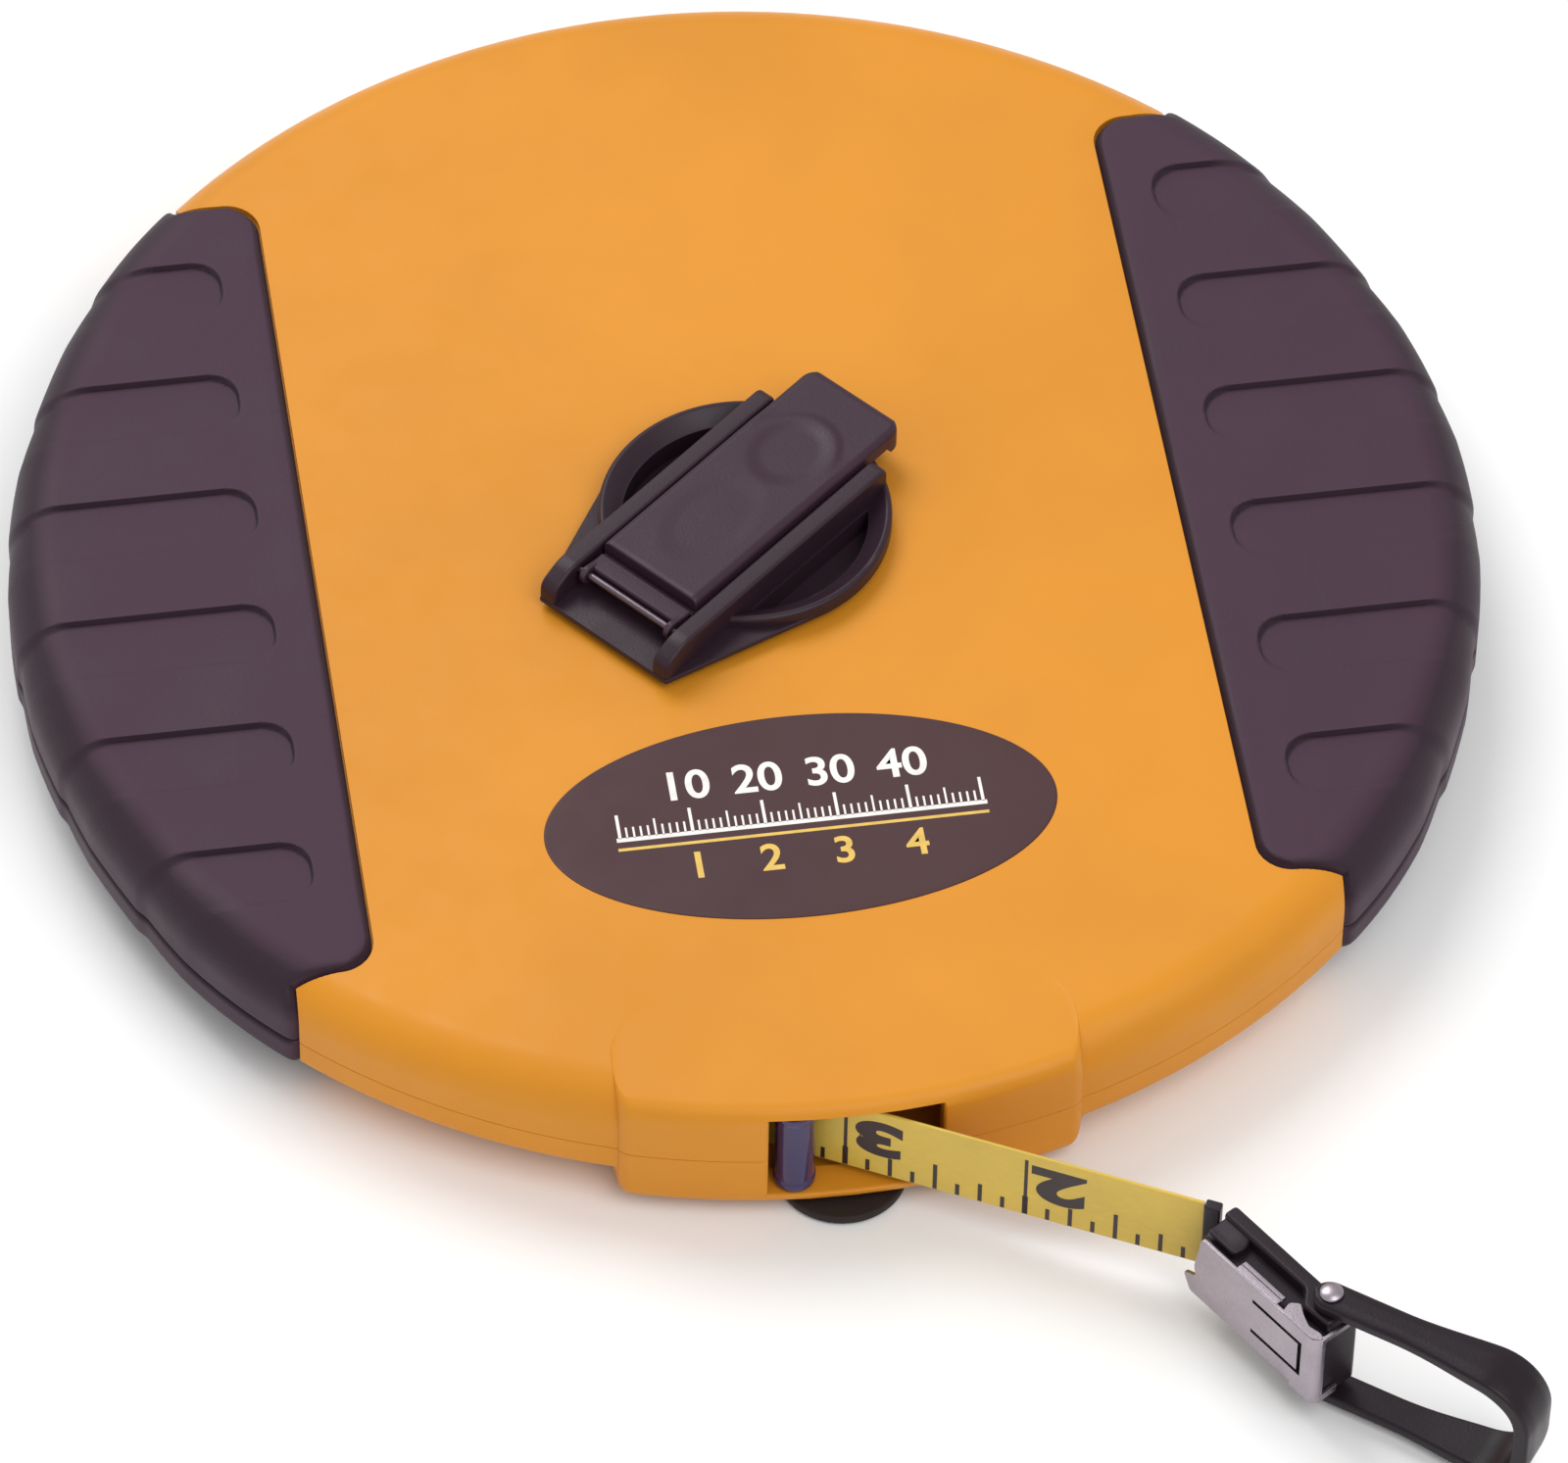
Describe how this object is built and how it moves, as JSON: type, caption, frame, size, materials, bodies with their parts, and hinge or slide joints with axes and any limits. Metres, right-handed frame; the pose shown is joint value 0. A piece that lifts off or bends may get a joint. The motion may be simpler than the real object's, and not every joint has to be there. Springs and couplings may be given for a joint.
{
  "type": "tape measure",
  "caption": "Closed-reel tape measure: flat round case with soft side grips, folding winding crank, mouth roller and a swivelling hook on the tape.",
  "frame": {"origin": "on the reel's axis, in the flat face of the rear pad that the case lies on", "axes": "+Z along the reel's axis out of the front of the case, -Y out of the mouth that the tape leaves by, +X to the right as the front is read"},
  "size_m": [0.2084, 0.2684, 0.03],
  "materials": {
    "case_orange": "smooth moulded, satin",
    "soft_grip": "matte, finely textured",
    "label": "printed film",
    "roller": "smooth",
    "black_rubber": "matte",
    "steel": "plated",
    "clip_steel": "stamped, plated",
    "bushing": "turned",
    "inner_plastic": "moulded",
    "crank_plastic": "satin moulded",
    "tape": "coated fibreglass, satin",
    "hook_black": "satin moulded"
  },
  "bodies": {
    "case": {"front_cover": "case_orange", "rear_cover": "case_orange", "front_grip_left": "soft_grip", "front_grip_right": "soft_grip", "rear_grip_left": "soft_grip", "rear_grip_right": "soft_grip", "front_label": "label", "roller_pin": "steel", "mouth_bumper": "black_rubber", "case_screw_1": "steel", "case_screw_2": "steel", "case_screw_3": "steel", "case_screw_4": "steel", "case_screw_5": "steel", "thrust_washer": "steel", "drum_bushing": "bushing"},
    "winder": {"crank_base": "crank_plastic", "crank_hinge_pin": "steel", "crank_screw": "steel", "crank_washer": "steel", "reel_drum": "inner_plastic", "reel_flange_rear": "inner_plastic", "reel_flange_front": "inner_plastic", "tape_coil": "tape", "tape_anchor_pin": "steel"},
    "arm": {"crank_arm": "crank_plastic", "knob_pin": "steel"},
    "knob": {"crank_knob": "crank_plastic"},
    "tape": {"tape_lead": "tape", "tape_end_tab": "hook_black", "hook_body": "hook_black", "hook_clip": "clip_steel", "hook_pin": "clip_steel"},
    "loop": {"hook_loop": "hook_black"},
    "roller": {"mouth_roller": "roller"}
  },
  "joints": [
    {"name": "crank_spin", "type": "hinge", "parent": "case", "child": "winder", "pos_m": [0, 0, 0.02], "axis": [0, 0, 1], "continuous": true},
    {"name": "crank_fold", "type": "hinge", "parent": "winder", "child": "arm", "pos_m": [-0.0185, -0.01591, 0.0274], "axis": [0.6521, -0.7581, 0], "range_deg": [0, 180]},
    {"name": "knob_spin", "type": "hinge", "parent": "arm", "child": "knob", "pos_m": [0.00819, 0.00704, 0.0236], "axis": [0, 0, 1], "continuous": true},
    {"name": "tape_pull", "type": "slide", "parent": "case", "child": "tape", "axis": [0.8878, -0.4602, 0], "range_m": [-0.033, 0.045]},
    {"name": "loop_swing", "type": "hinge", "parent": "tape", "child": "loop", "pos_m": [0.057, -0.143, 0.012], "axis": [0, 0, 1], "range_deg": [-120, 120]},
    {"name": "roller_spin", "type": "hinge", "parent": "case", "child": "roller", "pos_m": [-0.0079, -0.10095, 0.0125], "axis": [0, 0, 1], "continuous": true}
  ]
}
